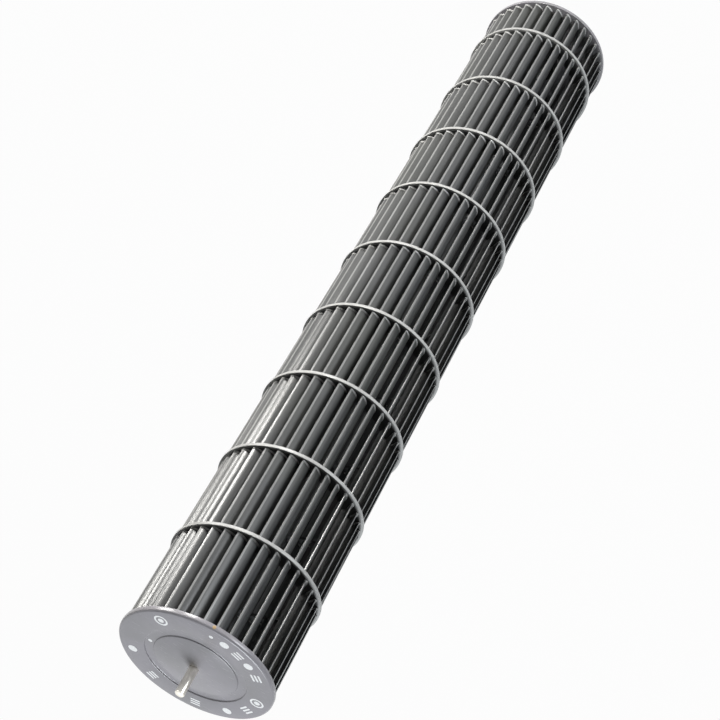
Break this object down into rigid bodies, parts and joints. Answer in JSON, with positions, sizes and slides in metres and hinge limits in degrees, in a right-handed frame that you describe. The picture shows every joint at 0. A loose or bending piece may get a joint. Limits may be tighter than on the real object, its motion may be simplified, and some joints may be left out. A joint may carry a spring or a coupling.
{
  "type": "cross flow fan",
  "caption": "Cross flow fan rotor: a long drum of welded blade rings with a closed end disc and steel bearing shaft at one end and a rubber damped clamp hub at the other.",
  "frame": {"origin": "centre of the motor end plate's outer face, on the ground", "axes": "+Z along the rotor's axis, from the motor end up to the bearing shaft"},
  "size_m": [0.092, 0.092, 0.5895],
  "materials": {
    "fan_plastic": "semi-gloss glass filled plastic, dark grey",
    "shaft_steel": "ground",
    "insert_aluminium": "turned",
    "screw_steel": "black oxide",
    "damper_rubber": "matte"
  },
  "bodies": {
    "root": {"shaft_end_segment": "fan_plastic", "blade_segment_2": "fan_plastic", "blade_segment_3": "fan_plastic", "blade_segment_4": "fan_plastic", "blade_segment_5": "fan_plastic", "blade_segment_6": "fan_plastic", "blade_segment_7": "fan_plastic", "blade_segment_8": "fan_plastic", "blade_segment_9": "fan_plastic", "blade_segment_10": "fan_plastic", "motor_end_plate": "fan_plastic", "hub_damper": "damper_rubber", "hub_insert": "insert_aluminium", "set_screw": "screw_steel", "bearing_shaft": "shaft_steel"}
  },
  "joints": []
}
